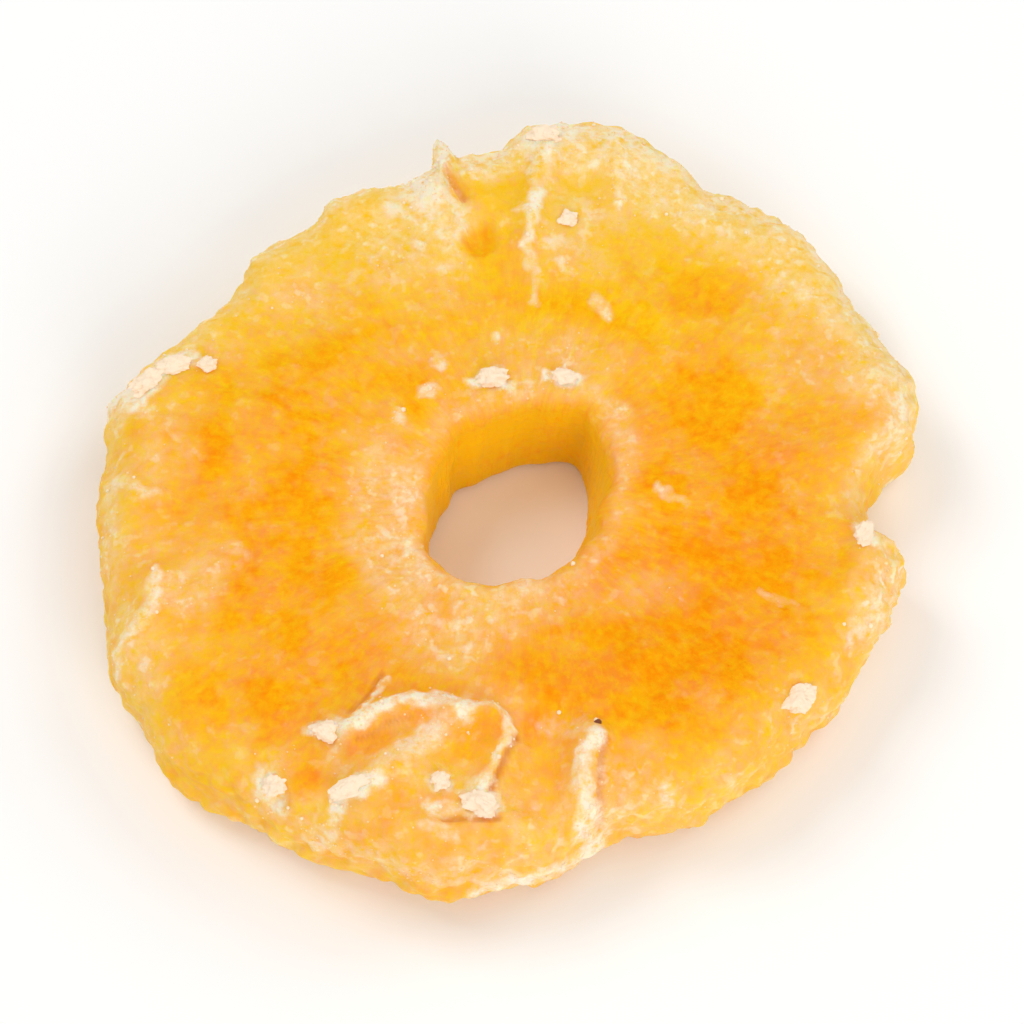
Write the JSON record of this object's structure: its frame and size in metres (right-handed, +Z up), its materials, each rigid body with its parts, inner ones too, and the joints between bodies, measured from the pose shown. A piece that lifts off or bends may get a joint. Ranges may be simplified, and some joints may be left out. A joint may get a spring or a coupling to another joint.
{
  "type": "dried pineapple ring",
  "caption": "Thick sugared slice of dried pineapple: a lobed orange ring round a core hole, folded at the front, to eat, bake with or decorate with.",
  "frame": {"origin": "middle of the underside that the slice rests on", "axes": "+Z up out of the sugared upper face, -Y towards the crumpled front edge, +X to the right with the notched side"},
  "size_m": [0.0716, 0.0744, 0.0131],
  "materials": {
    "candied_flesh": "half clear orange candied fruit flesh, smooth and faintly sticky, with a frosted bloom of fine sugar",
    "sugar_crystals": "white to cream sugar crystals and grains, dry and slightly translucent"
  },
  "bodies": {
    "root": {"pineapple_ring": "candied_flesh"}
  },
  "joints": []
}
